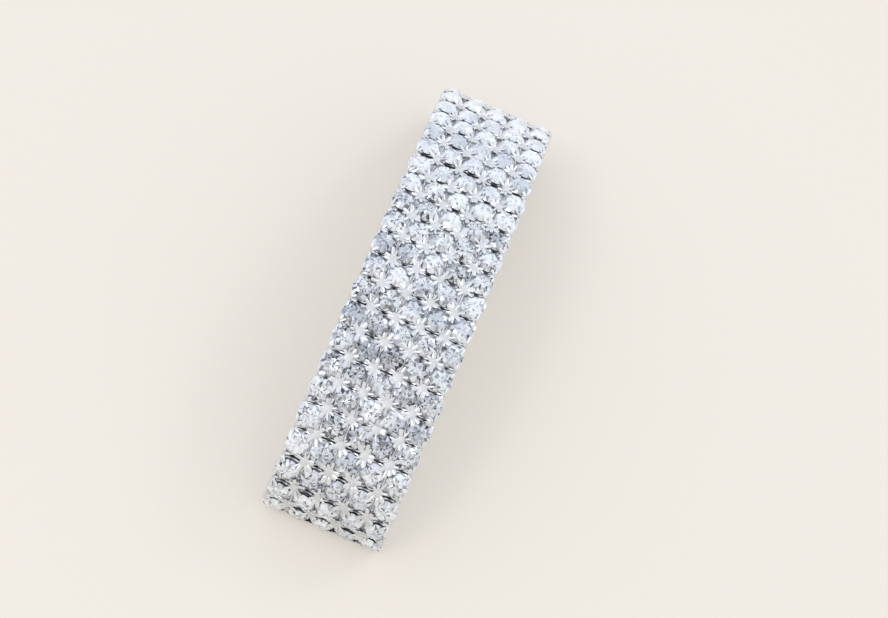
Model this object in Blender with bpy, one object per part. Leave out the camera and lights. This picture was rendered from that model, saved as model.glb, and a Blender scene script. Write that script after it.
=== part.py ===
"""Rhinestone hair clip: five strands of cup chain on an arched plate, carried by a French clip.

Metres, +Z up. +X runs along the clip from its hinge to its catch, +Y runs across it, and the
plate's two ends stand on Z = 0. A run is a length along the plate's outer face, counted from
its crown towards +X. A rise is a height above that face, and is negative under it.
"""

import math

import bmesh
import bpy
from mathutils import Matrix, Vector

# Strands of cup chain
STRANDS = 5
STONES = 24
STRAND_PITCH = 0.0038
STONE_PITCH = 0.00388
CUP_WIDTH = 0.0035
CUP_HEIGHT = 0.0019
CUP_SIDES = 8
TABLE_WIDTH = 0.0018
CROWN_HEIGHT = 0.0008
LINK_WIDTH = 0.0010
LINK_THICKNESS = 0.0005
LINK_LIFT = 0.0003

# Arched plate under the strands
ARCH_RADIUS = 0.058
ARCH_LENGTH = 0.064
END_RADIUS = 0.0113
PLATE_THICKNESS = 0.0007
PLATE_MARGIN = 0.0004
END_LIP = 0.0008
ARCH_FACETS = 20
END_FACETS = 9

# Clip spine: a channel that opens downwards, with two hinge ears
SPINE_LENGTH = 0.060
SPINE_WIDTH = 0.0090
SPINE_THICKNESS = 0.0006
SPINE_DEPTH = 0.0012
SPINE_FACETS = 16

# Hinge
PIN_RADIUS = 0.0006
PIN_SETBACK = 0.0020
PIN_DROP = 0.0042
PIN_HEAD_RADIUS = 0.0010
PIN_HEAD_THICKNESS = 0.0004
EAR_RADIUS = 0.0016
EAR_THICKNESS = 0.0006
LUG_RADIUS = 0.0012
LUG_FOOT = 0.0014

# Clasp arm: a channel that opens downwards, with two lugs and a window
ARM_RADIUS = 0.120
ARM_UNDER_PIN = 0.0015
ARM_THICKNESS = 0.0006
ARM_DEPTH = 0.0010
ARM_LIP = 0.0026
ARM_FACETS = 14
LUG_THICKNESS = 0.0006

# Tension bar
BAR_GAP = 0.0022
BAR_THICKNESS = 0.0004
BAR_FACETS = 14
BAR_LUG_THICKNESS = 0.0005
BAR_END_GAP = 0.0010

# Catch: a folded bracket under the spine, with two cheeks
BRACKET_LENGTH = 0.0080
BRACKET_WIDTH = 0.0064
BRACKET_THICKNESS = 0.0006
BRACKET_MOUTH = 0.0006
BRACKET_END_MARGIN = 0.0003
CHEEK_LENGTH = 0.0032
CHEEK_THICKNESS = 0.0005
CHEEK_SPACING = 0.0026
BARB_REACH = 0.00045
BARB_HEIGHT = 0.0010
CHEEK_TAIL = 0.0004
EAR_BAR_DROP = 0.0008
EAR_BAR_THICKNESS = 0.0005
PAD_REACH = 0.0055
PAD_THICKNESS = 0.0005
PAD_HEIGHT = 0.0022

# Rivets
RIVET_RADIUS = 0.0008
RIVET_HEAD_RADIUS = 0.0012
RIVET_CROWN_RADIUS = 0.0008
RIVET_HEAD_THICKNESS = 0.0004
HINGE_RIVET_INSET = 0.0100
MIDDLE_RIVET_RUN = 0.0
CATCH_RIVET_INSET = 0.0030

# Clearances
SEAT = 0.0001
PIN_CLEARANCE = 0.00006
SIDE_CLEARANCE = 0.0002
WINDOW_CLEARANCE = 0.0001
WINDOW_END_CLEARANCE = 0.0005
ROUND_SIDES = 16
NOSE_FACETS = 8
FOOT_FACETS = 4
CUT_MARGIN = 0.003

# Places that follow from the sizes
BAND_LENGTH = STONES * STONE_PITCH
PLATE_WIDTH = (STRANDS - 1) * STRAND_PITCH + CUP_WIDTH - 2 * PLATE_MARGIN
ARCH_ANGLE = ARCH_LENGTH / 2 / ARCH_RADIUS
PLATE_ANGLE = ARCH_ANGLE + (BAND_LENGTH / 2 + END_LIP - ARCH_LENGTH / 2) / END_RADIUS
END_CENTRE_X = (ARCH_RADIUS - END_RADIUS) * math.sin(ARCH_ANGLE)
END_CENTRE_Z = -END_RADIUS * math.cos(PLATE_ANGLE)
ARCH_CENTRE_Z = END_CENTRE_Z - (ARCH_RADIUS - END_RADIUS) * math.cos(ARCH_ANGLE)

SPINE_TOP = -PLATE_THICKNESS - SEAT
SPINE_LOW = SPINE_TOP - SPINE_THICKNESS
BAR_TOP = SPINE_LOW - BAR_GAP
BAR_LOW = BAR_TOP - BAR_THICKNESS
ARM_HALF_WIDTH = SPINE_WIDTH / 2 - EAR_THICKNESS - SIDE_CLEARANCE
BAR_HALF_WIDTH = ARM_HALF_WIDTH - LUG_THICKNESS - SIDE_CLEARANCE


def clear_scene():
    """Removes every object the file opened with."""
    for obj in list(bpy.data.objects):
        bpy.data.objects.remove(obj, do_unlink=True)


def arch_point(run, rise, y=0.0):
    """The point at a run and a rise: one large arc, then a small arc at each end."""
    side = math.copysign(1.0, run)
    run = abs(run)
    if run <= ARCH_LENGTH / 2:
        angle = run / ARCH_RADIUS
        x = (ARCH_RADIUS + rise) * math.sin(angle)
        z = ARCH_CENTRE_Z + (ARCH_RADIUS + rise) * math.cos(angle)
    else:
        angle = arch_angle(run)
        x = END_CENTRE_X + (END_RADIUS + rise) * math.sin(angle)
        z = END_CENTRE_Z + (END_RADIUS + rise) * math.cos(angle)
    return Vector((side * x, y, z))


def arch_angle(run):
    """How far the plate has turned down at a run, in radians."""
    turned = min(abs(run), ARCH_LENGTH / 2) / ARCH_RADIUS
    turned += max(abs(run) - ARCH_LENGTH / 2, 0.0) / END_RADIUS
    return math.copysign(turned, run)


def arch_frame(run, rise, y=0.0):
    """A matrix that stands local +Z on the plate at a run, with local +X along it."""
    return Matrix.Translation(arch_point(run, rise, y)) @ Matrix.Rotation(arch_angle(run), 4, "Y")


def run_at_x(x, rise):
    """The run, on the +X side, at which a surface with this rise is at x."""
    if x <= (ARCH_RADIUS + rise) * math.sin(ARCH_ANGLE):
        return math.asin(x / (ARCH_RADIUS + rise)) * ARCH_RADIUS
    angle = math.asin((x - END_CENTRE_X) / (END_RADIUS + rise))
    return ARCH_LENGTH / 2 + (angle - ARCH_ANGLE) * END_RADIUS


def floor_run(rise):
    """The run at which a surface with this rise comes down to Z = 0."""
    angle = math.acos(-END_CENTRE_Z / (END_RADIUS + rise))
    return ARCH_LENGTH / 2 + (angle - ARCH_ANGLE) * END_RADIUS


def spread(low, high, count):
    """count + 1 values from low to high."""
    return [low + (high - low) * i / count for i in range(count + 1)]


PIN = arch_point(PIN_SETBACK - SPINE_LENGTH / 2, SPINE_LOW) - Vector((0.0, 0.0, PIN_DROP))
ARM_CENTRE_Z = PIN.z - ARM_UNDER_PIN - math.sqrt(ARM_RADIUS**2 - PIN.x**2)
SPINE_END_X = arch_point(SPINE_LENGTH / 2, SPINE_LOW).x
BRACKET_FAR_X = SPINE_END_X - BRACKET_END_MARGIN
BRACKET_NEAR_X = BRACKET_FAR_X - BRACKET_LENGTH
FOOT_TOP = SPINE_LOW - SEAT
FOOT_LOW = FOOT_TOP - BRACKET_THICKNESS
BRACKET_LOW_Z = arch_point(run_at_x(BRACKET_FAR_X, FOOT_LOW), FOOT_LOW).z
BRACKET_LOW_Z -= BRACKET_MOUTH + BRACKET_THICKNESS
CHEEK_TOP_Z = BRACKET_LOW_Z - SEAT
CHEEK_X = BRACKET_FAR_X - CHEEK_LENGTH / 2
CHEEK_HINGE_Y = CHEEK_SPACING / 2 + CHEEK_THICKNESS / 2
CHEEK_OUTER_Y = CHEEK_SPACING / 2 + CHEEK_THICKNESS


def arm_point(x, rise, y=0.0):
    """The point on the clasp arm's arc that lies over x, lifted along the arc's normal."""
    angle = math.asin(x / ARM_RADIUS)
    reach = ARM_RADIUS + rise
    return Vector((reach * math.sin(angle), y, ARM_CENTRE_Z + reach * math.cos(angle)))


def metal(name, colour, metallic, roughness):
    """A Principled BSDF material of one colour."""
    made = bpy.data.materials.get(name) or bpy.data.materials.new(name)
    made.use_nodes = True
    shader = made.node_tree.nodes["Principled BSDF"]
    shader.inputs["Base Color"].default_value = (*colour, 1.0)
    shader.inputs["Metallic"].default_value = metallic
    shader.inputs["Roughness"].default_value = roughness
    made.diffuse_color = (*colour, 1.0)
    return made


def silver():
    return metal("silver_plate", (0.80, 0.81, 0.84), 0.9, 0.22)


def brass():
    return metal("backing_brass", (0.74, 0.74, 0.76), 0.9, 0.35)


def spring_steel():
    return metal("spring_steel", (0.62, 0.63, 0.66), 0.9, 0.32)


def make_object(name, bm, material, origin=(0.0, 0.0, 0.0)):
    """Turns a bmesh into an object whose origin is at the given point."""
    bmesh.ops.recalc_face_normals(bm, faces=bm.faces)
    bmesh.ops.translate(bm, verts=bm.verts, vec=-Vector(origin))
    mesh = bpy.data.meshes.new(name)
    bm.to_mesh(mesh)
    bm.free()
    mesh.shade_smooth()
    mesh.set_sharp_from_angle(angle=math.radians(30))
    made = bpy.data.objects.new(name, mesh)
    made.location = origin
    if material:
        mesh.materials.append(material)
    bpy.context.scene.collection.objects.link(made)
    return made


def add_loft(bm, rings):
    """Adds a closed solid through rings of points, all with the same count."""
    rows = [[bm.verts.new(point) for point in ring] for ring in rings]
    count = len(rows[0])
    for low, high in zip(rows, rows[1:]):
        for i in range(count):
            j = (i + 1) % count
            bm.faces.new((low[i], low[j], high[j], high[i]))
    bm.faces.new(rows[0])
    bm.faces.new(rows[-1])


def add_turned(bm, profile, sides, frame, twist=0.0):
    """Adds a turned solid: profile is (radius, height) pairs along the frame's +Z."""
    rings = []
    for radius, height in profile:
        angles = [twist + 2 * math.pi * i / sides for i in range(sides)]
        ring = [Vector((radius * math.cos(a), radius * math.sin(a), height)) for a in angles]
        rings.append([frame @ point for point in ring])
    add_loft(bm, rings)


def add_prism(bm, outline, low, high):
    """Adds an (x, z) outline made solid from y = low to y = high."""
    add_loft(bm, [[Vector((x, y, z)) for x, z in outline] for y in (low, high)])


def add_box(bm, low, high):
    """Adds a box between two corners."""
    outline = [(low[0], low[2]), (high[0], low[2]), (high[0], high[2]), (low[0], high[2])]
    add_prism(bm, outline, low[1], high[1])


def helper(name, bm):
    """A hidden object that a Boolean works with."""
    made = make_object(name, bm, None)
    made.hide_render = True
    made.display_type = "WIRE"
    return made


def combine(target, other, operation):
    """Adds a Boolean of the target with a hidden helper."""
    step = target.modifiers.new(f"{operation.lower()}_{other.name}", "BOOLEAN")
    step.operation = operation
    step.solver = "EXACT"
    step.object = other


def cut_hole(target, name, radius, frame, low, high):
    """Cuts a round hole along a frame's Z axis, from low to high."""
    bm = bmesh.new()
    add_turned(bm, [(radius, low), (radius, high)], ROUND_SIDES, frame)
    combine(target, helper(name, bm), "DIFFERENCE")


def channel(half_width, top, wall, depth):
    """The (y, rise) section of a channel that opens downwards."""
    inner = half_width - wall
    low = top - depth
    web = top - wall
    return [
        (-half_width, low),
        (-half_width, top),
        (half_width, top),
        (half_width, low),
        (inner, low),
        (inner, web),
        (-inner, web),
        (-inner, low),
    ]


def flat(half_width, top, low):
    """The (y, rise) section of a flat strip."""
    return [(-half_width, low), (-half_width, top), (half_width, top), (half_width, low)]


def hinge_frame():
    """Local +Z along the hinge pin."""
    return Matrix.Translation(PIN) @ Matrix.Rotation(math.radians(-90), 4, "X")


def lug_outline(foot_near, foot_far, radius, side):
    """An (x, z) outline from two foot points round the pin: side is +1 above it, -1 below it."""
    steps = spread(0.0, math.pi, NOSE_FACETS)
    nose = [(PIN.x + radius * math.cos(a), PIN.z + side * radius * math.sin(a)) for a in steps]
    return nose + [(foot_near.x, foot_near.z), (foot_far.x, foot_far.z)]


def add_lug_pair(bm, outline, inner, outer):
    """Adds the outline twice, on both sides of the centre line."""
    add_prism(bm, outline, inner, outer)
    add_prism(bm, outline, -outer, -inner)


def make_strand(index):
    """One strand: round cups, each with its stone's crown on top, on a running link strip."""
    y = (index - (STRANDS - 1) / 2) * STRAND_PITCH
    runs = [(i - (STONES - 1) / 2) * STONE_PITCH for i in range(STONES)]
    corner = 1 / math.cos(math.pi / CUP_SIDES)
    cup = CUP_WIDTH / 2 * corner
    table = TABLE_WIDTH / 2 * corner
    profile = [(cup, SEAT), (cup, SEAT + CUP_HEIGHT), (table, SEAT + CUP_HEIGHT + CROWN_HEIGHT)]
    bm = bmesh.new()
    for run in runs:
        add_turned(bm, profile, CUP_SIDES, arch_frame(run, 0.0, y), math.pi / CUP_SIDES)
    strand = make_object(f"strand_{index + 1}", bm, silver())

    low = SEAT + LINK_LIFT
    section = flat(LINK_WIDTH / 2, low + LINK_THICKNESS, low)
    stations = spread(runs[0], runs[-1], 2 * (STONES - 1))
    bm = bmesh.new()
    add_loft(bm, [[arch_point(run, rise, y + dy) for dy, rise in section] for run in stations])
    combine(strand, helper(f"link_strip_{index + 1}", bm), "UNION")


def make_backing_plate():
    """The arched plate, cut level at both ends."""
    section = flat(PLATE_WIDTH / 2, 0.0, -PLATE_THICKNESS)
    arch = spread(-ARCH_LENGTH / 2, ARCH_LENGTH / 2, ARCH_FACETS)
    shares = [i / END_FACETS for i in range(1, END_FACETS + 1)]

    def end_ring(share, side):
        ring = []
        for y, rise in section:
            run = ARCH_LENGTH / 2 + share * (floor_run(rise) - ARCH_LENGTH / 2)
            ring.append(arch_point(side * run, rise, y))
        return ring

    rings = [end_ring(share, -1) for share in reversed(shares)]
    rings += [[arch_point(run, rise, y) for y, rise in section] for run in arch]
    rings += [end_ring(share, 1) for share in shares]
    bm = bmesh.new()
    add_loft(bm, rings)
    plate = make_object("backing_plate", bm, brass())
    for name, frame in rivet_frames().items():
        cut_hole(plate, f"plate_hole_{name}", RIVET_RADIUS + SEAT, frame, -CUT_MARGIN, CUT_MARGIN)


def rivet_frames():
    """Frames on the plate's outer face, with local +Z up each rivet."""
    catch_run = run_at_x(BRACKET_NEAR_X + CATCH_RIVET_INSET, FOOT_TOP)
    return {
        "hinge": arch_frame(HINGE_RIVET_INSET - SPINE_LENGTH / 2, 0.0),
        "middle": arch_frame(MIDDLE_RIVET_RUN, 0.0),
        "catch": arch_frame(catch_run, 0.0),
    }


def make_rivet(name, low):
    """A rivet: flush in the plate at its top, with a peened head under low."""
    bm = bmesh.new()
    profile = [
        (RIVET_CROWN_RADIUS, low - RIVET_HEAD_THICKNESS),
        (RIVET_HEAD_RADIUS, low - RIVET_HEAD_THICKNESS / 2),
        (RIVET_HEAD_RADIUS, low),
        (RIVET_RADIUS, low),
        (RIVET_RADIUS, -SEAT),
    ]
    add_turned(bm, profile, ROUND_SIDES, rivet_frames()[name])
    make_object(f"rivet_{name}", bm, silver())


def make_spine():
    """The clip's spine: an arched channel, with an ear on each side of the hinge."""
    section = channel(SPINE_WIDTH / 2, SPINE_TOP, SPINE_THICKNESS, SPINE_DEPTH)
    stations = spread(-SPINE_LENGTH / 2, SPINE_LENGTH / 2, SPINE_FACETS)
    bm = bmesh.new()
    add_loft(bm, [[arch_point(run, rise, y) for y, rise in section] for run in stations])
    spine = make_object("clip_spine", bm, spring_steel())

    rooted = SPINE_TOP - SPINE_THICKNESS / 2
    far = arch_point(-SPINE_LENGTH / 2 + SEAT, rooted)
    near = arch_point(-SPINE_LENGTH / 2 + 2 * PIN_SETBACK, rooted)
    bm = bmesh.new()
    outline = lug_outline(far, near, EAR_RADIUS, -1)
    add_lug_pair(bm, outline, SPINE_WIDTH / 2 - EAR_THICKNESS, SPINE_WIDTH / 2)
    combine(spine, helper("hinge_ears", bm), "UNION")
    reach = SPINE_WIDTH / 2 + CUT_MARGIN
    cut_hole(spine, "ear_holes", PIN_RADIUS + PIN_CLEARANCE, hinge_frame(), -reach, reach)
    for name, frame in rivet_frames().items():
        cut_hole(spine, f"spine_hole_{name}", RIVET_RADIUS + SEAT, frame, -CUT_MARGIN, CUT_MARGIN)


def make_hinge_pin():
    """The pin, with a peened head outside each ear."""
    inner = SPINE_WIDTH / 2 + SEAT
    outer = inner + PIN_HEAD_THICKNESS
    bm = bmesh.new()
    profile = [
        (PIN_HEAD_RADIUS, -outer),
        (PIN_HEAD_RADIUS, -inner),
        (PIN_RADIUS, -inner),
        (PIN_RADIUS, inner),
        (PIN_HEAD_RADIUS, inner),
        (PIN_HEAD_RADIUS, outer),
    ]
    add_turned(bm, profile, ROUND_SIDES, hinge_frame())
    make_object("hinge_pin", bm, spring_steel())


def make_clasp_arm():
    """The clasp arm, with a lug on each side of the pin and a window for the catch."""
    section = channel(ARM_HALF_WIDTH, 0.0, ARM_THICKNESS, ARM_DEPTH)
    start = PIN.x - LUG_RADIUS
    window_low = CHEEK_X - CHEEK_LENGTH / 2 - WINDOW_END_CLEARANCE
    window_high = CHEEK_X + CHEEK_LENGTH / 2 + WINDOW_END_CLEARANCE
    stations = spread(start, window_high + ARM_LIP, ARM_FACETS)
    bm = bmesh.new()
    add_loft(bm, [[arm_point(x, rise, y) for y, rise in section] for x in stations])
    arm = make_object("clasp_arm", bm, spring_steel(), PIN)

    rooted = -ARM_THICKNESS / 2
    far = arm_point(start, rooted)
    near = arm_point(PIN.x + LUG_RADIUS + LUG_FOOT, rooted)
    bm = bmesh.new()
    outline = lug_outline(far, near, LUG_RADIUS, 1)
    add_lug_pair(bm, outline, ARM_HALF_WIDTH - LUG_THICKNESS, ARM_HALF_WIDTH)
    combine(arm, helper("arm_lugs", bm), "UNION")
    reach = ARM_HALF_WIDTH + CUT_MARGIN
    cut_hole(arm, "arm_holes", PIN_RADIUS + PIN_CLEARANCE, hinge_frame(), -reach, reach)

    half = CHEEK_OUTER_Y + BARB_REACH + WINDOW_CLEARANCE
    level = arm_point(CHEEK_X, 0.0).z
    bm = bmesh.new()
    add_box(bm, (window_low, -half, level - CUT_MARGIN), (window_high, half, level + CUT_MARGIN))
    combine(arm, helper("arm_window", bm), "DIFFERENCE")


def make_tension_bar():
    """The tension bar: a strip that keeps the spine's curve, with two lugs on the pin."""
    section = flat(BAR_HALF_WIDTH, BAR_TOP, BAR_LOW)
    first = PIN_SETBACK - SPINE_LENGTH / 2
    last = run_at_x(BRACKET_NEAR_X - BAR_END_GAP, BAR_TOP)
    bm = bmesh.new()
    stations = spread(first, last, BAR_FACETS)
    add_loft(bm, [[arch_point(run, rise, y) for y, rise in section] for run in stations])
    bar = make_object("tension_bar", bm, spring_steel(), PIN)

    rooted = BAR_TOP - BAR_THICKNESS / 2
    far = arch_point(first + SEAT, rooted)
    near = arch_point(first + LUG_RADIUS + LUG_FOOT, rooted)
    bm = bmesh.new()
    outline = lug_outline(far, near, LUG_RADIUS, -1)
    add_lug_pair(bm, outline, BAR_HALF_WIDTH - BAR_LUG_THICKNESS, BAR_HALF_WIDTH)
    combine(bar, helper("bar_lugs", bm), "UNION")
    reach = BAR_HALF_WIDTH + CUT_MARGIN
    cut_hole(bar, "bar_holes", PIN_RADIUS + PIN_CLEARANCE, hinge_frame(), -reach, reach)


def make_catch_bracket():
    """The catch's bracket: a strip folded into a foot under the spine, a riser and a level base."""

    def under_spine(x, rise):
        point = arch_point(run_at_x(x, rise), rise)
        return point.x, point.z

    riser_x = BRACKET_NEAR_X + BRACKET_THICKNESS
    base_top_z = BRACKET_LOW_Z + BRACKET_THICKNESS
    foot_top = [under_spine(x, FOOT_TOP) for x in spread(BRACKET_FAR_X, BRACKET_NEAR_X, FOOT_FACETS)]
    foot_low = [under_spine(x, FOOT_LOW) for x in spread(riser_x, BRACKET_FAR_X, FOOT_FACETS)]
    base = [(BRACKET_NEAR_X, BRACKET_LOW_Z), (BRACKET_FAR_X, BRACKET_LOW_Z)]
    base += [(BRACKET_FAR_X, base_top_z), (riser_x, base_top_z)]
    bm = bmesh.new()
    add_prism(bm, foot_top + base + foot_low, -BRACKET_WIDTH / 2, BRACKET_WIDTH / 2)
    bracket = make_object("catch_bracket", bm, spring_steel())
    frame = rivet_frames()["catch"]
    low = FOOT_LOW - SEAT - RIVET_HEAD_THICKNESS
    cut_hole(bracket, "bracket_hole", RIVET_RADIUS + SEAT, frame, low, CUT_MARGIN)


def make_cheek(name, side):
    """A catch cheek: a leaf through the arm's window, with a barb below and a finger pad beside."""
    arm_low = arm_point(BRACKET_FAR_X, -ARM_THICKNESS).z
    barb_top = arm_low - WINDOW_CLEARANCE
    tip = barb_top - BARB_HEIGHT - CHEEK_TAIL
    inner = CHEEK_SPACING / 2
    outer = CHEEK_OUTER_Y
    bar_top = CHEEK_TOP_Z - EAR_BAR_DROP
    bar_low = bar_top - EAR_BAR_THICKNESS
    pad_inner = PAD_REACH - PAD_THICKNESS
    pad_low = bar_top - PAD_HEIGHT
    outline = [
        (inner, CHEEK_TOP_Z),
        (outer, CHEEK_TOP_Z),
        (outer, bar_top),
        (PAD_REACH, bar_top),
        (PAD_REACH, pad_low),
        (pad_inner, pad_low),
        (pad_inner, bar_low),
        (outer, bar_low),
        (outer, barb_top),
        (outer + BARB_REACH, barb_top),
        (outer, barb_top - BARB_HEIGHT),
        (outer, tip),
        (inner, tip),
    ]
    bm = bmesh.new()
    ends = (CHEEK_X - CHEEK_LENGTH / 2, CHEEK_X + CHEEK_LENGTH / 2)
    add_loft(bm, [[Vector((x, side * y, z)) for y, z in outline] for x in ends])
    make_object(name, bm, spring_steel(), (CHEEK_X, side * CHEEK_HINGE_Y, CHEEK_TOP_Z))


clear_scene()
for strand_index in range(STRANDS):
    make_strand(strand_index)
make_backing_plate()
make_spine()
make_hinge_pin()
make_clasp_arm()
make_tension_bar()
make_catch_bracket()
make_cheek("catch_cheek_left", 1)
make_cheek("catch_cheek_right", -1)
make_rivet("hinge", SPINE_LOW - SEAT)
make_rivet("middle", SPINE_LOW - SEAT)
make_rivet("catch", FOOT_LOW - SEAT)
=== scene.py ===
"""A barrette of five soldered strands of set crystal stones on an arched clip."""

import math

import bmesh
import bpy
import numpy as np
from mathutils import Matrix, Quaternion, Vector


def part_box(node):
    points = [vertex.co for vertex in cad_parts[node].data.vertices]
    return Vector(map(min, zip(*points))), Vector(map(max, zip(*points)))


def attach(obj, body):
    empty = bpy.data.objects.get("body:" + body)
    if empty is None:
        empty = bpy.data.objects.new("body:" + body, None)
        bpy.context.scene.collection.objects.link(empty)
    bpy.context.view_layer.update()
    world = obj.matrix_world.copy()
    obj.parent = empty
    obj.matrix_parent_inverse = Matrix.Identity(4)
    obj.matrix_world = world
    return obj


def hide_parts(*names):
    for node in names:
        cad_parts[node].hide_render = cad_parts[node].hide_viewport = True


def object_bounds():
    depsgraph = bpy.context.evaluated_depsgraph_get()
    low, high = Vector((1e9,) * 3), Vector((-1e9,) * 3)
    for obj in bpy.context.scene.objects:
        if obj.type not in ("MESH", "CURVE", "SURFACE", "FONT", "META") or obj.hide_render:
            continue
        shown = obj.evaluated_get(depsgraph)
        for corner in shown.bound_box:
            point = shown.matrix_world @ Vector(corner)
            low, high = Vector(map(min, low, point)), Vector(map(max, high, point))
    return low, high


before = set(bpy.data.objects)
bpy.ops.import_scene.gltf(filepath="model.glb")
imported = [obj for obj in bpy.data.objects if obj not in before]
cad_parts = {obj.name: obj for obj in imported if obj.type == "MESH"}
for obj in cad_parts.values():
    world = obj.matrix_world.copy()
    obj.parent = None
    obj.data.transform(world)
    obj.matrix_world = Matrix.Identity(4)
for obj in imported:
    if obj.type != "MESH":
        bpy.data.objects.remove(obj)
cad_low, cad_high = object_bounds()


# ---------------------------------------------------------------- the view
# A portrait lens held over the hinge end, looking down the length of the
# clip, and turned so that the clip runs up to the right.
AIM = Vector((-0.0035, -0.0042, 0.0150))
DISTANCE = 0.2701
HEADING = math.radians(91.69)
LOOK_DOWN = math.radians(62.08)
ROLL = math.radians(24.66)
LENS = 73.0

toward = Vector((
    math.sin(HEADING) * math.cos(LOOK_DOWN),
    math.cos(HEADING) * math.cos(LOOK_DOWN),
    -math.sin(LOOK_DOWN),
))
eye = bpy.data.cameras.new("eye")
eye.lens = LENS
eye.clip_start, eye.clip_end = 0.01, 10.0
camera = bpy.data.objects.new("camera", eye)
camera.location = AIM - DISTANCE * toward
camera.rotation_mode = "QUATERNION"
camera.rotation_quaternion = toward.to_track_quat("-Z", "Y") @ Quaternion((0, 0, 1), ROLL)
bpy.context.scene.collection.objects.link(camera)
bpy.context.scene.camera = camera
bpy.context.scene.view_settings.view_transform = "Standard"


# ------------------------------------------------------------ floor and light
# A pale cream table top of frosted sheet, so that the clasp can still be seen
# when it hangs open below it. Two soft square lights stand over it in daylight.
CREAM, CREAM_ROUGHNESS, CREAM_GLOSS = (0.84, 0.79, 0.72, 1.0), 0.8, 0.2
FLOOR_SIZE = 1.2
FLOOR_COVER, COVER_NEAR, COVER_FAR = 0.62, 0.08, 0.42
WINDOW_SIDE, WINDOW_BAND = Vector((0.85, 0.20, 0.45)).normalized(), (-0.35, 0.85)
WINDOW_LIGHT, ROOM_LIGHT = (0.98, 1.03, 1.12, 1.0), (0.90, 0.885, 0.86, 1.0)
KEY_POWER, KEY_SIZE, KEY_PLACE = 0.7, 0.20, (-0.30, 0.32, 0.62)
FILL_POWER, FILL_SIZE, FILL_PLACE = 0.4, 0.14, (0.45, -0.30, 0.45)


class Wire:
    """A shader socket that can be reckoned with: every operator adds its Math node."""

    def __init__(self, tree, socket=None):
        self.tree, self.socket = tree, socket

    def add(self, kind, settings=None, inputs=None, out=0):
        """Adds a node: its settings first, then the values or wires of its sockets."""
        made = self.tree.nodes.new("ShaderNode" + kind)
        for key, value in (settings or {}).items():
            if key == "stops":
                ramp = made.color_ramp.elements
                while len(ramp) < len(value):
                    ramp.new(0.5)
                for stop, (position, colour) in zip(ramp, value):
                    stop.position, stop.color = position, (*colour, 1.0)
            else:
                setattr(made, key, value)
        for key, value in (inputs or {}).items():
            if isinstance(value, Wire):
                value.into(made.inputs[key])
            else:
                made.inputs[key].default_value = value
        return Wire(self.tree, made.outputs[out])

    def into(self, socket):
        """Links this wire to a socket of a node that is already there."""
        self.tree.links.new(self.socket, socket)

    def maths(self, operation, *terms):
        """Adds a Math node on these terms."""
        return self.add("Math", {"operation": operation}, dict(enumerate(terms)))

    def __add__(self, other):
        return self.maths("ADD", self, other)

    def __rsub__(self, other):
        return self.maths("SUBTRACT", other, self)

    def __mul__(self, other):
        return self.maths("MULTIPLY", self, other)

    __radd__, __rmul__ = __add__, __mul__

    def between(self, low, high, to_low=0.0, to_high=1.0):
        """Spreads low..high over to_low..to_high, and holds it there outside."""
        ends = {"From Min": low, "From Max": high, "To Min": to_low, "To Max": to_high}
        return self.add("MapRange", inputs={"Value": self, **ends})

    def blend(self, first, second):
        """The first colour where this wire is 0, and the second where it is 1."""
        return self.add("Mix", {"data_type": "RGBA"}, {0: self, 6: first, 7: second}, out=2)

    def stained(self, colour, share):
        """This colour multiplied by another one, by a share from 0 to 1."""
        multiply = {"data_type": "RGBA", "blend_type": "MULTIPLY"}
        return self.add("Mix", multiply, {0: share, 6: self, 7: colour}, out=2)

    def noise(self, spot, scale, detail):
        """Cloudy noise over the points of a wire, from about 0 to 1."""
        cloud = {"Vector": spot, "Scale": scale, "Detail": detail}
        return self.add("TexNoise", inputs=cloud, out="Fac")


def paint(name):
    """A new material: its shader node and a Wire on its tree."""
    made = bpy.data.materials.new(name)
    made.use_nodes = True
    return made, made.node_tree.nodes["Principled BSDF"], Wire(made.node_tree)


def feed(shader, **values):
    """Sets a shader's sockets, or links them, by names with _ for a space."""
    for key, value in values.items():
        socket = shader.inputs[key.replace("_", " ")]
        if isinstance(value, Wire):
            value.into(socket)
        else:
            socket.default_value = value


def grid_faces(rows, columns, closed=False):
    """The quads of a grid of points kept row by row: each joins a point, the next in its
    row and the two under them. closed joins the last column to the first."""
    row = np.arange(rows - 1)[:, None] * columns
    column = np.arange(columns if closed else columns - 1)[None]
    after = (column + 1) % columns
    corners = (row + column, row + after, row + columns + after, row + columns + column)
    return np.stack([np.broadcast_to(c, corners[0].shape) for c in corners], -1).reshape(-1, 4)


def new_object(name, points, groups, material, smooth_to=None):
    """A mesh object of points and of groups of faces, where the faces of a group have
    the same count of corners. Edges sharper than smooth_to degrees stay sharp."""
    mesh = bpy.data.meshes.new(name)
    rows = [row for group in groups for row in group.tolist()]
    mesh.from_pydata(points.reshape(-1, 3).tolist(), [], rows)
    if smooth_to is not None:
        mesh.shade_smooth()
        mesh.set_sharp_from_angle(angle=math.radians(smooth_to))
    mesh.materials.append(material)
    made = bpy.data.objects.new(name, mesh)
    bpy.context.scene.collection.objects.link(made)
    return made


def light(name, power, size, place):
    """A square soft light that faces the clip."""
    lamp = bpy.data.lights.new(name, "AREA")
    lamp.energy, lamp.size = power, size
    made = bpy.data.objects.new(name, lamp)
    made.location = place
    made.rotation_mode = "QUATERNION"
    made.rotation_quaternion = (AIM - Vector(place)).to_track_quat("-Z", "Y")
    bpy.context.scene.collection.objects.link(made)


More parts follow.
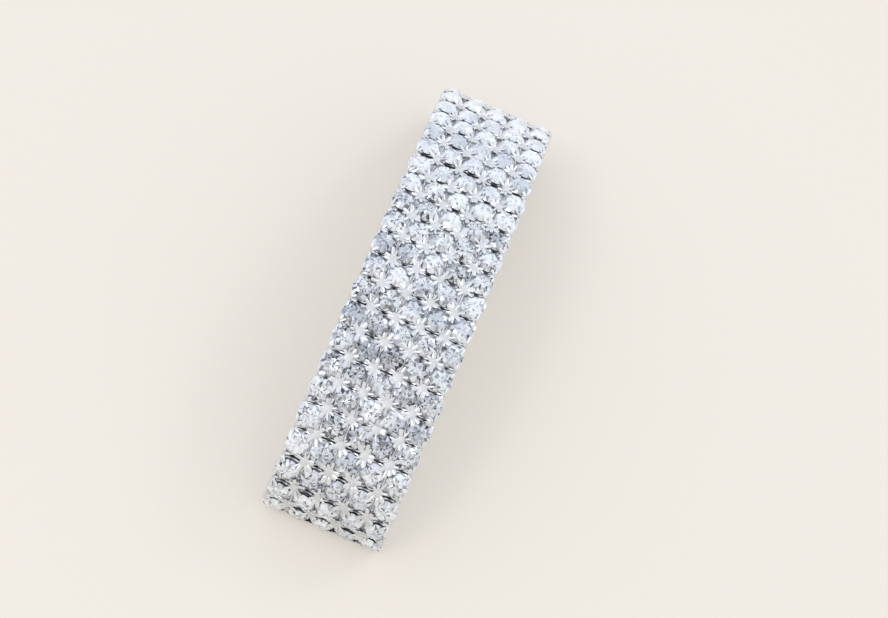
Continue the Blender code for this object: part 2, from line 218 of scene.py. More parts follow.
cream, shader, tree = paint("cream_table")
feed(shader, Base_Color=CREAM, Roughness=CREAM_ROUGHNESS, Specular_IOR_Level=CREAM_GLOSS)
spot = tree.add("TexCoord", out="Object")
away = tree.add("VectorMath", {"operation": "LENGTH"}, {0: spot}, out="Value")
above = 1.0 - tree.add("NewGeometry", out="Backfacing")
cover = away.between(COVER_NEAR, COVER_FAR, FLOOR_COVER, 0.0) * above
seen = tree.add("LightPath", out="Is Camera Ray")
clear = tree.add("BsdfTransparent", out="BSDF")
solid = Wire(tree.tree, shader.outputs[0])
frosted = tree.add("MixShader", inputs={0: 1.0 - seen * (1.0 - cover), 1: clear, 2: solid})
frosted.into(tree.tree.nodes["Material Output"].inputs["Surface"])
reach = np.linspace(-FLOOR_SIZE / 2, FLOOR_SIZE / 2, 2)
across, along = np.meshgrid(reach, reach)
sheet = np.stack([across, along, np.full_like(across, cad_low.z)], -1)
floor = new_object("floor", sheet, [grid_faces(2, 2)], cream)

light("key_light", KEY_POWER, KEY_SIZE, KEY_PLACE)
light("fill_light", FILL_POWER, FILL_SIZE, FILL_PLACE)

sky = bpy.data.worlds.new("sky")
sky.use_nodes = True
bpy.context.scene.world = sky
air = Wire(sky.node_tree)
seen = air.add("LightPath", out="Is Camera Ray")
ahead = air.add("TexCoord", out="Generated")
product = {"operation": "DOT_PRODUCT"}
facing = air.add("VectorMath", product, {0: ahead, 1: WINDOW_SIDE}, out="Value")
room = facing.between(*WINDOW_BAND).blend(ROOM_LIGHT, WINDOW_LIGHT)
backdrop = sky.node_tree.nodes["Background"]
seen.blend(room, CREAM).into(backdrop.inputs["Color"])
backdrop.inputs["Strength"].default_value = 1.0


# -------------------------------------------------------------- backing plate
# A strip of thin brass, rolled, bent to an arch, cut level where it stands and
# then silver plated. The strands are soldered to its outer face.
ARCH_RADIUS, ARCH_LENGTH, END_RADIUS = 0.058, 0.064, 0.0113
PLATE_WIDTH, PLATE_THICKNESS, PLATE_EDGE = 0.0179, 0.0007, 0.00025
PLATE_STEPS, PLATE_SMOOTH = 160, 40
ROLLED_DULL, ROLLED_BRIGHT = (0.60, 0.60, 0.61, 1.0), (0.80, 0.80, 0.81, 1.0)
ROLLED_GRAIN, GRAIN_DETAIL, ROLLED_SMEAR, SMEAR_DETAIL = (300.0, 9000.0, 300.0), 3.0, 160.0, 4.0
SMEAR_BAND, SMEAR_SHARE, GRAIN_SHARE = (0.35, 0.68), 0.7, 0.3
ROLLED_ROUGHNESS, GRAIN_ROUGHNESS = (0.3, 0.7, 0.26, 0.40), 0.06
GRAIN_DENT, DENT_DEPTH = 0.25, 0.00002
ARCH_TURN = ARCH_LENGTH / 2 / ARCH_RADIUS
CENTRE_GAP = ARCH_RADIUS - END_RADIUS
END_CENTRE_X = CENTRE_GAP * math.sin(ARCH_TURN)
END_CENTRE_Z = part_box("backing_plate")[1].z - ARCH_RADIUS + CENTRE_GAP * math.cos(ARCH_TURN)


def arch_turn(run):
    """How far the plate has turned down at a run along it: the run over the large
    radius as far as the arch goes, then over the small one."""
    size = np.abs(run)
    main = np.minimum(size, ARCH_LENGTH / 2)
    return np.sign(run) * (main / ARCH_RADIUS + (size - main) / END_RADIUS)


def arch_point(run, rise, across):
    """Points over the plate: each is its arc's centre plus the radius and the rise along
    the arc's normal, whose x is the sine of the turn and whose z is its cosine."""
    run, rise, across = np.broadcast_arrays(run, rise, across)
    turn, side = arch_turn(run), np.sign(run)
    inside = np.abs(run) <= ARCH_LENGTH / 2
    radius = np.where(inside, ARCH_RADIUS, END_RADIUS) + rise
    x = np.where(inside, 0.0, side * END_CENTRE_X) + radius * np.sin(turn)
    lower = np.where(inside, CENTRE_GAP * math.cos(ARCH_TURN), 0.0)
    z = END_CENTRE_Z - lower + radius * np.cos(turn)
    return np.stack([x, across, z], -1)


def floor_run(rise):
    """The run at which a surface with this rise comes down to the floor, from the
    cosine of the end arc's turn there."""
    turn = np.arccos((cad_low.z - END_CENTRE_Z) / (END_RADIUS + rise))
    return ARCH_LENGTH / 2 + (turn - ARCH_TURN) * END_RADIUS


def rounded_section(half_width, top, low, edge, steps=3):
    """A rectangle (across, rise) with quarter-round corners of the edge radius,
    anticlockwise."""
    turn = np.linspace(0, math.pi / 2, steps + 1)
    corner = np.stack([np.cos(turn), np.sin(turn)], -1) * edge
    right, high = half_width - edge, top - edge
    flips = [((1, 1), 1), ((-1, 1), -1), ((-1, -1), 1), ((1, -1), -1)]
    middle = (top + low) / 2
    rounds = [(corner[::way] + (right, high - middle)) * flip for flip, way in flips]
    return np.concatenate(rounds) + (0.0, middle)


def tube_groups(rows, columns):
    """The quads of a closed section carried along a path, and a cap at each end."""
    caps = np.stack([np.arange(columns)[::-1], np.arange(columns) + (rows - 1) * columns])
    return [grid_faces(rows, columns, closed=True), caps]


section = rounded_section(PLATE_WIDTH / 2, 0.0, -PLATE_THICKNESS, PLATE_EDGE)
share = np.linspace(-1, 1, PLATE_STEPS + 1)[:, None]
points = arch_point(share * floor_run(section[:, 1]), section[:, 1], section[:, 0])

rolled, shader, tree = paint("rolled_silver_plate")
spot = tree.add("TexCoord", out="Object")
grain = tree.add("Mapping", inputs={"Vector": spot, "Scale": ROLLED_GRAIN})
lines = tree.noise(grain, 1.0, GRAIN_DETAIL)
smear = tree.noise(spot, ROLLED_SMEAR, SMEAR_DETAIL)
tone = smear.between(*SMEAR_BAND) * SMEAR_SHARE + lines * GRAIN_SHARE
furrows = {"Strength": GRAIN_DENT, "Distance": DENT_DEPTH, "Height": lines}
dent = tree.add("Bump", inputs=furrows, out="Normal")
feed(shader, Base_Color=tone.blend(ROLLED_DULL, ROLLED_BRIGHT), Metallic=1.0, Normal=dent)
feed(shader, Roughness=smear.between(*ROLLED_ROUGHNESS) + lines * GRAIN_ROUGHNESS)
groups = tube_groups(*points.shape[:2])
plate = new_object("backing_plate_finished", points, groups, rolled, PLATE_SMOOTH)
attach(plate, "band")
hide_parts("backing_plate")


# --------------------------------------------------------------- clip fittings
# The spine, arm, tension bar, catch and pin are stamped from bright nickelled
# spring steel. Their press leaves every edge a little rounded.
STAMPED = {
    "clip_spine": "band", "catch_bracket": "band", "clasp_arm": "clasp",
    "tension_bar": "tension_bar", "catch_cheek_left": "cheek_left",
    "catch_cheek_right": "cheek_right", "hinge_pin": "band",
    "rivet_hinge": "band", "rivet_middle": "band", "rivet_catch": "band",
}
PRESS_ROUND, PRESS_STEPS, EDGE_FROM, STEEL_SMOOTH = 0.00009, 2, 35, 50
MERGE_WITHIN, FLAT_WITHIN = 1e-6, 0.6
STEEL_DULL, STEEL_BRIGHT = (0.40, 0.40, 0.41, 1.0), (0.60, 0.595, 0.58, 1.0)
STEEL_GRAIN, STEEL_GRAIN_DETAIL = (500.0, 12000.0, 500.0), 2.0
STEEL_SMEAR, STEEL_SMEAR_DETAIL = 220.0, 5.0
STEEL_BAND, STEEL_SMEAR_SHARE, STEEL_GRAIN_SHARE = (0.3, 0.7), 0.75, 0.25
STEEL_ROUGHNESS, STEEL_GRAIN_ROUGHNESS, STEEL_DENT = (0.3, 0.7, 0.18, 0.34), 0.05, 0.2

nickel, shader, tree = paint("nickelled_steel")
spot = tree.add("TexCoord", out="Object")
grain = tree.add("Mapping", inputs={"Vector": spot, "Scale": STEEL_GRAIN})
lines = tree.noise(grain, 1.0, STEEL_GRAIN_DETAIL)
smear = tree.noise(spot, STEEL_SMEAR, STEEL_SMEAR_DETAIL)
tone = smear.between(*STEEL_BAND) * STEEL_SMEAR_SHARE + lines * STEEL_GRAIN_SHARE
furrows = {"Strength": STEEL_DENT, "Distance": DENT_DEPTH, "Height": lines}
dent = tree.add("Bump", inputs=furrows, out="Normal")
feed(shader, Base_Color=tone.blend(STEEL_DULL, STEEL_BRIGHT), Metallic=1.0, Normal=dent)
feed(shader, Roughness=smear.between(*STEEL_ROUGHNESS) + lines * STEEL_GRAIN_ROUGHNESS)


def stamped(node, body):
    """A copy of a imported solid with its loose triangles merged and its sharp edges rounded."""
    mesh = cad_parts[node].data.copy()
    made = bpy.data.objects.new(node + "_finished", mesh)
    bpy.context.scene.collection.objects.link(made)
    work = bmesh.new()
    work.from_mesh(mesh)
    bmesh.ops.remove_doubles(work, verts=work.verts, dist=MERGE_WITHIN)
    flat = math.radians(FLAT_WITHIN)
    bmesh.ops.dissolve_limit(work, angle_limit=flat, verts=work.verts, edges=work.edges)
    work.to_mesh(mesh)
    work.free()
    mesh.materials.clear()
    mesh.materials.append(nickel)
    edge = made.modifiers.new("press_round", "BEVEL")
    edge.width, edge.segments, edge.limit_method = PRESS_ROUND, PRESS_STEPS, "ANGLE"
    edge.angle_limit = math.radians(EDGE_FROM)
    mesh.shade_smooth()
    mesh.set_sharp_from_angle(angle=math.radians(STEEL_SMOOTH))
    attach(made, body)
    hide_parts(node)


for node, body in STAMPED.items():
    stamped(node, body)


# --------------------------------------------------------------- stone strands
# Each strand is cup chain: cups pressed from brass sheet, with narrow claws bent
# over the stones, a flat link strip, and silver plating whose colour holds painted
# shade between cups and low down, and painted light on the outer sides and towards
# the far end. Sections, paths, slots and heights are in millimetres, the rest in metres.
MM = 0.001
STRANDS, STONES = 5, 24
STRAND_PITCH, STONE_PITCH = 0.0038, 0.00388
STRAY, CUP_TWIST = (0.000045, 0.000015), 0.03
PARTED_GAP, PARTED_BY, PARTED_REACH = 16, 0.00018, 0.018
OPENING = 0.18

CUP_SECTION = (
    (1.40, 0.02), (1.74, 0.42), (1.90, 1.60), (1.905, 1.96), (1.85, 2.05), (1.70, 2.05),
    (1.60, 1.84),
)
CUP_COLUMNS, CUP_SQUARENESS, CUP_STRETCH, CUP_SMOOTH = 40, 3.3, 1.016, 40
CUP_DIP, DIP_FROM = 0.14, 1.5
SLOT_DEPTH, SLOT_DIP = 0.11, 0.20
SLOT_RUNS, SLOT_SPREADS = (-0.040, -0.033, -0.004, 0.010), (0.22, 0.15, 0.15, 0.27)
CUP_HALF, SCALLOP, SCALLOP_FROM = 0.0019, 0.00045, 0.5

CLAW_PATH = ((0.25, 1.20), (0.32, 1.90), (0.56, 2.16), (0.90, 2.25), (1.22, 2.33), (1.54, 2.47))
CLAW_WIDTHS = (0.44, 0.50, 0.58, 0.62, 0.60, 0.38)
CLAW_DEPTHS = (0.14, 0.14, 0.14, 0.13, 0.11, 0.08)
CLAW_SIDES = (0.5, 0.27, 0.0, -0.27, -0.5, 0.0)
CLAW_RIDGE = (0.0, 0.75, 1.0, 0.75, 0.0, -0.7)
CLAW_SLANTS = (0.38, 1.13)
CLAW_STRAY, CLAW_REACH, CLAW_SWELL = 0.14, (0.78, 1.12), (0.55, 1.25)

LINK_HALF_WIDTH, LINK_TOP, LINK_LOW, LINK_EDGE = 0.0005, 0.0009, 0.0004, 0.00012
LINK_STEPS, LINK_CORNER_STEPS = 4 * STONES, 2

# Painted shade and light: the plating's colour runs from a shade colour where the height attribute
# is low to bright silver where it is high.
CUP_SILVER, PAINTED_SHADE_SILVER = (0.79, 0.805, 0.83, 1.0), (0.27, 0.27, 0.28, 1.0)
SHADE_TO, LIGHT_FROM, LIGHT_LEAST, LIGHT_SMEAR = 1.1, 1.95, 0.72, 0.5
SILVER_SMEAR, SILVER_SMEAR_DETAIL = 900.0, 3.0
SILVER_PITS, PIT_DETAIL, PIT_DENT, PIT_DEPTH = 5200.0, 2.0, 0.3, 0.00003
CUP_POLISH, SMEAR_ROUGHNESS, DULL_ROUGHNESS = 0.20, 0.16, 0.2
SLOT_SHADE, SLOT_FROM, SLOT_REACH, END_SHADE = 0.45, 1.4, 2.4, 0.4
SLOT_LEAST, SLOT_VARIES, SLOT_PARTED = 0.5, 1.5, 2.6
CLAW_SHADE = 0.8
LIT_SIDE, LIT_END, LIT_LOW, LIT_RISE = 0.0087, 0.0011, 1.35, 0.33
FAR_START, FAR_LIGHT_LIFT = 0.25, 1.4

chance = np.random.default_rng(7)
slot_chance = np.random.default_rng(3)
runs = (np.arange(STONES) - (STONES - 1) / 2) * STONE_PITCH
strand_places = (np.arange(STRANDS) - (STRANDS - 1) / 2) * STRAND_PITCH

# Every cup sits a little astray, and one row has parted where the chain was bent
# on: the cups draw back from that gap, less and less with the distance from it.
strays = chance.normal(0, 1, (STRANDS, 2, STONES)) * np.array(STRAY)[:, None]
from_gap = runs - (PARTED_GAP - STONES / 2) * STONE_PITCH
near_gap = np.clip(1 - np.abs(from_gap) / PARTED_REACH, 0, None)
strays[:, 0] += np.sign(from_gap) * PARTED_BY * near_gap


def bend_on_arch(shapes, runs, across):
    """Shapes bent with the plate: x is added to each run and z is the rise. Round the ends
    x shrinks by a share of the rise over the radius, so that gaps open between the tops."""
    across = np.broadcast_to(across, runs.shape)
    round_end = (np.abs(runs) > ARCH_LENGTH / 2)[:, None]
    along = shapes[..., 0] * (1 - OPENING * round_end * shapes[..., 2] / END_RADIUS)
    return arch_point(runs[:, None] + along, shapes[..., 2], across[:, None] + shapes[..., 1])


def vary(shapes, twist, swell):
    """Turns each copy about its own axis by a small random angle, taken as its own sine,
    and swells it by a small random share."""
    turn = chance.normal(0, twist, (len(shapes), 1))
    size = 1 + chance.normal(0, swell, (len(shapes), 1))
    x, y = shapes[..., 0] * size, shapes[..., 1] * size
    return np.stack([x - turn * y, y + turn * x, shapes[..., 2]], -1)


def scalloped(shapes, side, axis):
    """Draws the corners of one outer side in: by the square of the place along that side
    times how far out the point is. The axis points out of the side, 0 for x and 1 for y."""
    along, out = shapes[..., 1 - axis] / CUP_HALF, shapes[..., axis] * side / CUP_HALF
    drawn = SCALLOP * along ** 2 * np.clip(out - SCALLOP_FROM, 0, None) / (1 - SCALLOP_FROM)
    return shapes - side * drawn[..., None] * np.eye(3)[axis]


def repeat_groups(groups, copies, points_each):
    """The faces of many copies of one shape, whose points follow each other."""
    steps = np.arange(copies)[:, None, None] * points_each
    return [(group[None] + steps).reshape(-1, group.shape[1]) for group in groups]


def join(*parts):
    """One shape of several (points, groups) parts: the points follow each other, and the
    groups are put together by count of corners."""
    found, start = {}, 0
    for points, groups in parts:
        for group in groups:
            found.setdefault(group.shape[1], []).append(group + start)
        start += points.size // 3
    points = np.concatenate([points.reshape(-1, 3) for points, _ in parts])
    return points, [np.concatenate(found[corners]) for corners in sorted(found)]


def cups(spreads):
    """A cup for each slot spread, squared by the superellipse rule. Its rim dips by the
    square of cos 2t, and more where it meets the next cup of the strand: there a slot,
    as deep as e to the power of minus (sin t / spread) squared, is pressed into its wall."""
    turn = np.arange(CUP_COLUMNS) / CUP_COLUMNS * 2 * math.pi
    power = CUP_SQUARENESS
    square = (np.abs(np.cos(turn)) ** power + np.abs(np.sin(turn)) ** power) ** (-1 / power)
    radius, height = np.array(CUP_SECTION).T
    slot = np.exp(-(np.sin(turn) / spreads[:, None, None]) ** 2)
    dip = CUP_DIP * np.cos(2 * turn) ** 2 + SLOT_DIP * slot
    z = height[:, None] - (height > DIP_FROM)[:, None] * dip
    x = radius[:, None] * square * np.cos(turn) * CUP_STRETCH
    x = x - SLOT_DEPTH * slot * np.sign(np.cos(turn))
    y = np.broadcast_to(radius[:, None] * square * np.sin(turn), x.shape)
    points = np.stack([x, y, z], -1) * MM
    return points.reshape(len(spreads), -1, 3), tube_groups(*x.shape[1:])


def claws(copies):
    """Claws in pairs that spread from each corner of a cup, each a little astray: a ridged
    section carried along a bent path. x and y are the corner, less the way along the path
    times the cosine and sine of the claw's slant, with the width square to it."""
    path = np.array(CLAW_PATH)
    ahead = np.gradient(path, axis=0)
    ahead /= np.linalg.norm(ahead, axis=1, keepdims=True)
    outward = np.stack([-ahead[:, 1], ahead[:, 0]], -1)
    wide = np.array(CLAW_WIDTHS)[:, None] * CLAW_SIDES
    lift = np.array(CLAW_DEPTHS)[:, None] * CLAW_RIDGE
    away = path[:, None, 0] + lift * outward[:, None, 0]
    height = path[:, None, 1] + lift * outward[:, None, 1]
    found = []
    for slant in CLAW_SLANTS:
        for turn in (slant, math.pi - slant, math.pi + slant, -slant):
            turns = turn + chance.normal(0, CLAW_STRAY, (copies, 1, 1))
            reach = away * chance.uniform(*CLAW_REACH, (copies, 1, 1))
            swell = wide * chance.uniform(*CLAW_SWELL, (copies, 1, 1))
            cosine, sine = np.cos(turns), np.sin(turns)
            x = np.sign(cosine) * STONE_PITCH / 2 / MM - reach * cosine - swell * sine
            y = np.sign(sine) * STRAND_PITCH / 2 / MM - reach * sine + swell * cosine
            claw = np.stack([x, y, np.broadcast_to(height, x.shape)], -1)
            found.append(claw.reshape(copies, -1, 3) * MM)
    return np.concatenate(found, 1)


def plated_silver(name, bright, polish):
    """Plating painted from a shade colour to bright by the height attribute, as painted shade and
    light, smeared and pitted.
    """
    made, shader, tree = paint(name)
    spot = tree.add("TexCoord", out="Object")
    height = tree.add("Attribute", {"attribute_name": "height"}, out="Fac")
    smear = tree.noise(spot, SILVER_SMEAR, SILVER_SMEAR_DETAIL)
    # Painted shade low down, painted light high up.
    painted_light = height.between(SHADE_TO, LIGHT_FROM)
    lit_and_smeared = painted_light * (LIGHT_LEAST + smear * LIGHT_SMEAR)
    pits = tree.noise(spot, SILVER_PITS, PIT_DETAIL)
    pitting = {"Strength": PIT_DENT, "Distance": PIT_DEPTH, "Height": pits}
    dent = tree.add("Bump", inputs=pitting, out="Normal")
    feed(shader, Base_Color=lit_and_smeared.blend(PAINTED_SHADE_SILVER, bright), Metallic=1.0, Normal=dent)
    dulled = (1.0 - painted_light) * DULL_ROUGHNESS
    feed(shader, Roughness=polish + smear * SMEAR_ROUGHNESS + dulled)
    return made


def set_shade_height(piece, heights):
    """Keeps a height for each point, in millimetres, by which the plating paints its shade and
    light.
    """
    attribute = piece.data.attributes.new("height", "FLOAT", "POINT")
    attribute.data.foreach_set("value", np.ascontiguousarray(heights, np.float32).ravel())


slot_spreads = np.interp(runs, SLOT_RUNS, SLOT_SPREADS)
slot_shades = slot_chance.uniform(0, 1, (STRANDS, STONES + 1)) ** 2 * SLOT_VARIES + SLOT_LEAST
# Painted shade: darkest in the parted gap.
slot_shades[:, PARTED_GAP] = SLOT_PARTED
end_shades = np.where(np.abs(runs) > ARCH_LENGTH / 2, END_SHADE, 1)


def shade_and_light_heights(shapes, placed, strand):
    """The heights that the plating of a strand's cups and claws paints its shade and light
    by. They are the real ones, less a bell curve across each slot as painted shade, and
    less a random darkening of each claw, partly tarnish and partly painted shade. They
    are evened out and raised on the outer sides and raised towards the far end, as
    painted light."""
    heights, along, across = shapes[..., 2] / MM, shapes[..., 0] / MM, shapes[..., 1] / MM
    # Painted shade across each slot between cups.
    bell = np.exp(-(across / SLOT_REACH / slot_spreads[:, None]) ** 2)
    in_slot = bell * (np.abs(along) > SLOT_FROM) * end_shades[:, None]
    ahead, behind = slot_shades[strand, 1:, None], slot_shades[strand, :-1, None]
    heights = heights - SLOT_SHADE * in_slot * np.where(along > 0, ahead, behind)
    # Each claw darkened at random: partly tarnish, partly painted shade.
    tarnish_and_dark_reflection = chance.uniform(0, 1, (STONES, claw_count)) ** 2
    heights[:, cup_size:] -= CLAW_SHADE * np.repeat(tarnish_and_dark_reflection, claw_size, 1)
    # Painted light: the outer sides and the end cups are made lighter.
    lit_outside = np.abs(placed[..., 1]) > LIT_SIDE
    lit_outside[0] |= shapes[0, :, 0] < -LIT_END
    lit_outside[-1] |= shapes[-1, :, 0] > LIT_END
    heights = np.where(lit_outside, LIT_LOW + LIT_RISE * heights, heights)
    # Painted light: lighter towards the far end.
    return heights + FAR_LIGHT_LIFT * np.clip(placed[..., 0] / cad_high.x - FAR_START, 0, None)


bare_cups, bare_groups = cups(slot_spreads)
claw_size, claw_count = len(CLAW_PATH) * len(CLAW_SIDES), 4 * len(CLAW_SLANTS)
cup_size, claws_size = bare_cups.shape[1], claw_size * claw_count
claw_groups = repeat_groups(tube_groups(len(CLAW_PATH), len(CLAW_SIDES)), claw_count, claw_size)
_, cup_groups = join((bare_cups[0], bare_groups), (np.zeros((claws_size, 3)), claw_groups))
section = rounded_section(LINK_HALF_WIDTH, LINK_TOP, LINK_LOW, LINK_EDGE, LINK_CORNER_STEPS)
link_runs = np.linspace(runs[0], runs[-1], LINK_STEPS)[:, None]
silver = plated_silver("cup_silver", CUP_SILVER, CUP_POLISH)

for number, across in enumerate(strand_places, 1):
    shapes = np.concatenate([bare_cups, claws(STONES)], 1)
    if number in (1, STRANDS):
        shapes = scalloped(shapes, 1 if number == STRANDS else -1, 1)
    shapes[0], shapes[-1] = scalloped(shapes[0], -1, 0), scalloped(shapes[-1], 1, 0)
    stray = strays[number - 1]
    placed = bend_on_arch(vary(shapes, CUP_TWIST, 0), runs + stray[0], across + stray[1])
    strip = arch_point(link_runs, section[:, 1], across + section[:, 0])
    points, groups = join(
        (placed, repeat_groups(cup_groups, STONES, shapes.shape[1])),
        (strip, tube_groups(*strip.shape[:2])),
    )
    strip_heights = np.tile(section[:, 1] / MM, len(link_runs))
    cup_heights = shade_and_light_heights(shapes, placed, number - 1)
    cup_strand = new_object(f"strand_{number}_cups", points, groups, silver, CUP_SMOOTH)
    set_shade_height(cup_strand, np.concatenate([cup_heights.ravel(), strip_heights]))
    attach(cup_strand, "band")
    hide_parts(f"strand_{number}")


# ---------------------------------------------------------------------- solder
# A thin bead of silver solder runs along the seam between two strands. Where
# four cups meet it stands up as a drop, which runs a little way up their claws.
DROP_SECTION = ((0.84, 0.90), (0.88, 1.70), (0.86, 2.06), (0.74, 2.22), (0.48, 2.28), (0.08, 2.29))
DROP_COLUMNS, DROP_LOBES, DROP_TWIST, DROP_SWELL = 16, 0.08, 0.25, 0.09
DROP_RUNS, DROP_SIZES = (-0.006, 0.014), (1.0, 0.80)
BEAD_HALF_WIDTH, BEAD_TOP, BEAD_LOW, BEAD_EDGE = 0.00013, 0.00196, 0.0015, 0.00006
BEAD_CORNER_STEPS, SOLDER_SMOOTH = 2, 60
SOLDER_SILVER, SOLDER_POLISH = (0.73, 0.735, 0.745, 1.0), 0.50
SOLDER_LOW, SOLDER_RISE, BEAD_HEIGHT = 1.1, 0.45, 1.55


def drop():
    """A domed drop whose radius is drawn in towards x and y and swells towards the claws
    between them, as minus cos 4t."""
    turn = np.arange(DROP_COLUMNS) / DROP_COLUMNS * 2 * math.pi
    radius, height = np.array(DROP_SECTION).T
    swell = 1.0 - DROP_LOBES * np.cos(4 * turn)
    x = radius[:, None] * swell * np.cos(turn)
    y = radius[:, None] * swell * np.sin(turn)
    z = np.broadcast_to(height[:, None], x.shape)
    return np.stack([x, y, z], -1).reshape(-1, 3) * MM, tube_groups(*x.shape)


solder = plated_silver("solder_silver", SOLDER_SILVER, SOLDER_POLISH)
section = rounded_section(BEAD_HALF_WIDTH, BEAD_TOP, BEAD_LOW, BEAD_EDGE, BEAD_CORNER_STEPS)
shape, drop_groups = drop()
seam_runs = (runs[1:] + runs[:-1]) / 2
seams = (strand_places[1:] + strand_places[:-1]) / 2
sizes = np.interp(seam_runs, DROP_RUNS, DROP_SIZES)[:, None, None]
drops = shape * np.concatenate([sizes, sizes, np.ones_like(sizes)], -1)
# Painted shade: each drop darker lower down, and the bead at one middle shade.
drop_heights = np.tile(SOLDER_LOW + SOLDER_RISE * shape[:, 2] / MM, len(seam_runs))

for number, across in enumerate(seams, 1):
    placed = bend_on_arch(vary(drops, DROP_TWIST, DROP_SWELL), seam_runs, across)
    bead = arch_point(link_runs, section[:, 1], across + section[:, 0])
    points, groups = join(
        (placed, repeat_groups(drop_groups, len(seam_runs), len(shape))),
        (bead, tube_groups(*bead.shape[:2])),
    )
    seam = new_object(f"solder_seam_{number}", points, groups, solder, SOLDER_SMOOTH)
    set_shade_height(seam, np.concatenate([drop_heights, np.full(bead.size // 3, BEAD_HEIGHT)]))
    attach(seam, "band")


# ---------------------------------------------------------------------- stones
# Clear crystal chatons with mirror foil behind, one pressed into each cup. Each
# facet, and each piece of the pavilion seen through the table, is painted its own
# grey: a painted reflection of the room. Radii and heights are in millimetres.
TABLE, SPLIT, STAR, GIRDLE = 1.02, 0.42, 1.39, 1.80
TABLE_HEIGHT, STAR_HEIGHT, GIRDLE_HEIGHT, CULET_HEIGHT = 2.62, 2.40, 1.98, 0.9
TILT, RIPPLE = 0.055, 0.05
SIDES, STARS, GIRDLES = 16, 8, 32
FIRST_SPLIT = 1
FIRST_TABLE = FIRST_SPLIT + SIDES
FIRST_STAR = FIRST_TABLE + SIDES
FIRST_GIRDLE = FIRST_STAR + STARS
CULET = FIRST_GIRDLE + GIRDLES
OUTER_FACETS = STARS + SIDES

TONE_SHARES = (0.0, 0.05, 0.12, 0.23, 0.36, 0.55, 0.80, 1.0)
TONES = (0.18, 0.31, 0.46, 0.59, 0.71, 0.82, 0.93, 1.00)
TONE_PIVOT, INNER_CONTRAST, OUTER_CONTRAST = 0.70, 1.15, 1.4
FACE_TONE, STONE_TONE = 0.06, 0.08
# Painted light along the clip: the stones' greys rise and fall by run, and turn towards white at
# the far end.
PAINTED_LIGHT_RUNS = (-0.046, -0.036, -0.021, -0.008, 0.008, 0.020, 0.044)
PAINTED_ROOM_LIGHT = (0.18, 0.02, -0.20, -0.01, 0.03, 0.20, 0.26)
FLOOD_RUNS, FLOOD = (0.004, 0.036), (0.0, 0.6)

DARK_FACET, PALE_FACET = (0.030, 0.033, 0.040, 1.0), (0.92, 0.95, 0.98, 1.0)
CASTS = (
    (0.0, (0.82, 0.78, 0.94)), (0.22, (0.96, 0.91, 0.99)), (0.5, (1.0, 1.0, 1.0)),
    (0.80, (0.91, 1.0, 0.97)), (0.95, (0.96, 1.0, 0.93)), (1.0, (0.98, 0.80, 0.85)),
)
CAST_SHARE = 0.65
LILAC, LILAC_PATCHES, LILAC_BAND = (0.62, 0.65, 0.71, 1.0), 170.0, (0.50, 0.64, 0.0, 0.75)
POLISH_MARKS, FOIL, CUT_ROUGHNESS, MARK_ROUGHNESS = 2600.0, 0.55, 0.05, 0.08
GLASS_COAT, COAT_ROUGHNESS, GLASS_IOR = 1.0, 0.02, 1.55


def stone_points(count):
    """Rings of a round cut: centre, table split, table edge, star points, girdle and
    culet, each ring's points at its radius times the cosine and sine of their turns.
    Each stone is turned at random, leans a little and has a slightly uneven table."""
    whole = np.arange(SIDES) * 2 * math.pi / SIDES
    fine = np.arange(GIRDLES) * 2 * math.pi / GIRDLES
    flat_side = np.where(np.arange(SIDES) % 2, math.cos(math.pi / STARS), 1.0)
    rings = [
        (np.zeros(1), 0.0, TABLE_HEIGHT), (whole, SPLIT * TABLE, TABLE_HEIGHT),
        (whole, TABLE * flat_side, TABLE_HEIGHT), (whole[1::2], STAR, STAR_HEIGHT),
        (fine, GIRDLE, GIRDLE_HEIGHT), (np.zeros(1), 0.0, CULET_HEIGHT),
    ]
    turn = np.concatenate([turns for turns, _, _ in rings])
    radius = np.concatenate([np.broadcast_to(r, turns.shape) for turns, r, _ in rings])
    height = np.concatenate([np.full(turns.shape, h) for turns, _, h in rings])
    turn = turn + chance.uniform(0, 2 * math.pi / STARS, (count, 1))
    uneven = chance.uniform(0, RIPPLE, (count, turn.shape[1]))
    height = height - np.where(np.arange(turn.shape[1]) < FIRST_TABLE, uneven, 0.0)
    x, y = radius * np.cos(turn), radius * np.sin(turn)
    lean = chance.normal(0, TILT, (2, count, 1))
    height = height + lean[0] * x + lean[1] * y
    return np.stack([x, y, height], -1) * MM


def stone_faces():
    """The triangles of a stone, and the number of the facet that each belongs to: the
    split fans and wedges of the table, slivers at its edge, the halves of the star and
    kite facets, the girdle's own, and the pavilion behind as one."""
    side, point, step = np.arange(SIDES), np.arange(STARS), np.arange(GIRDLES)
    following = (side + 1) % SIDES
    split, next_split = FIRST_SPLIT + side, FIRST_SPLIT + following
    edge, next_edge = FIRST_TABLE + side, FIRST_TABLE + following
    star, star_before = FIRST_STAR + point, FIRST_STAR + (point - 1) % STARS
    corner, middle, next_corner = edge[::2], edge[1::2], next_edge[1::2]
    girdle, next_girdle = FIRST_GIRDLE + step, FIRST_GIRDLE + (step + 1) % GIRDLES
    low = girdle[::GIRDLES // STARS]
    star_over = FIRST_STAR + step * STARS // GIRDLES
    kinds = [
        ((0 * side, split, next_split), side // 2),
        ((split, edge, next_edge), side), ((split, next_edge, next_split), side),
        ((corner, star, middle), point), ((middle, star, next_corner), point),
        ((corner, low, star), point), ((corner, star_before, low), point),
        ((star_over, girdle, next_girdle), step),
        ((girdle, 0 * step + CULET, next_girdle), 0 * step),
    ]
    faces, facets, first = [], [], 0
    for corners, facet in kinds:
        faces.append(np.stack(corners, -1))
        facets.append(first + facet)
        first += facet.max() + 1
    return np.concatenate(faces), np.concatenate(facets)


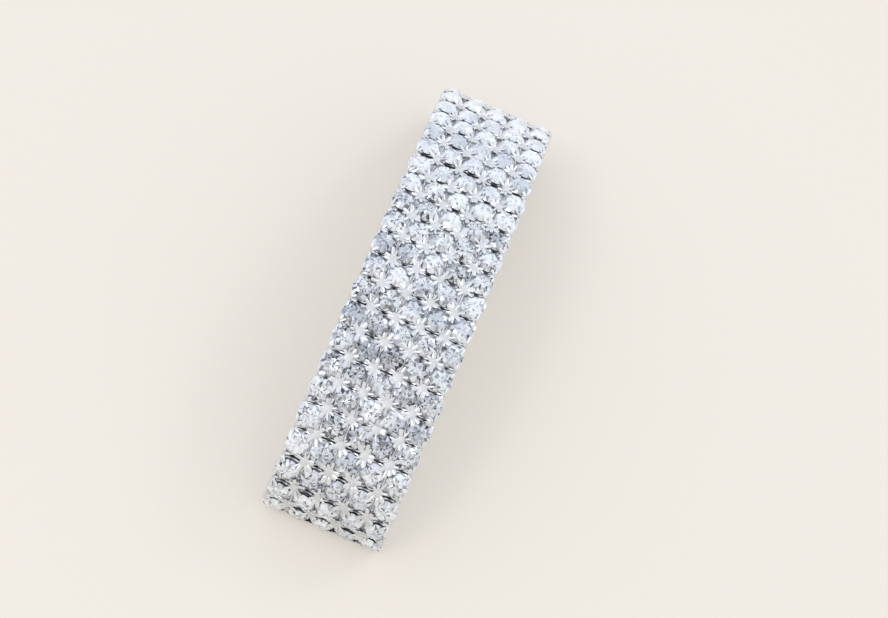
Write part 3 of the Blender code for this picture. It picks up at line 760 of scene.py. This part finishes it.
def stand_on_arch(shapes, runs, across):
    """Stands shapes on the plate: the arch's point at each run, plus x along the tangent,
    y across and z up the normal."""
    turn = arch_turn(runs)
    along = np.stack([np.cos(turn), 0 * turn, -np.sin(turn)], -1)[:, None]
    upward = np.stack([np.sin(turn), 0 * turn, np.cos(turn)], -1)[:, None]
    foot = arch_point(runs, 0.0, across)[:, None]
    side = np.array([0.0, 1.0, 0.0])
    return foot + shapes[..., 0:1] * along + shapes[..., 1:2] * side + shapes[..., 2:3] * upward


def facet_tones(facets):
    """A painted reflection for each face: each facet's chance grey with more or less
    contrast, a little off from face to face and stone to stone, plus painted light along
    the clip, which floods towards white at the far end."""
    drawn = chance.uniform(0, 1, (STONES, facets.max() + 1))
    tones = np.interp(drawn, TONE_SHARES, TONES)[:, facets]
    contrast = np.where(facets < OUTER_FACETS, INNER_CONTRAST, OUTER_CONTRAST)
    tones = TONE_PIVOT + contrast * (tones - TONE_PIVOT)
    tones = tones + chance.normal(0, FACE_TONE, tones.shape)
    tones = tones + chance.normal(0, STONE_TONE, (STONES, 1))
    # Painted light along the clip, then towards white at the far end.
    tones = np.clip(tones + np.interp(runs, PAINTED_LIGHT_RUNS, PAINTED_ROOM_LIGHT)[:, None], 0, 1)
    return tones + (1 - tones) * np.interp(runs, FLOOD_RUNS, FLOOD)[:, None]


crystal, shader, tree = paint("foiled_crystal")
tone = tree.add("Attribute", {"attribute_name": "tone"}, out="Fac")
hue = tree.add("Attribute", {"attribute_name": "hue"}, out="Fac")
spot = tree.add("TexCoord", out="Object")
cast = tree.add("ValToRGB", {"stops": CASTS}, {0: hue}, out="Color")
patch = tree.noise(spot, LILAC_PATCHES, 1.0).between(*LILAC_BAND)
tinted = tone.blend(DARK_FACET, PALE_FACET).stained(cast, CAST_SHARE)
marks = tree.noise(spot, POLISH_MARKS, 1.0)
feed(shader, Base_Color=tinted.stained(LILAC, patch), Metallic=FOIL)
feed(shader, Roughness=CUT_ROUGHNESS + marks * MARK_ROUGHNESS)
feed(shader, Coat_Weight=GLASS_COAT, Coat_Roughness=COAT_ROUGHNESS, Coat_IOR=GLASS_IOR)

faces, facets = stone_faces()
for number, across in enumerate(strand_places, 1):
    stray = strays[number - 1]
    points = stand_on_arch(stone_points(STONES), runs + stray[0], across + stray[1])
    groups = repeat_groups([faces], STONES, points.shape[1])
    stones = new_object(f"strand_{number}_stones", points, groups, crystal)
    tones = facet_tones(facets)
    hues = chance.uniform(0, 1, (STONES, facets.max() + 1))[:, facets]
    for name, values in (("tone", tones), ("hue", hues)):
        attribute = stones.data.attributes.new(name, "FLOAT", "FACE")
        attribute.data.foreach_set("value", np.ascontiguousarray(values, np.float32).ravel())
    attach(stones, "band")
    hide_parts(f"strand_{number}")
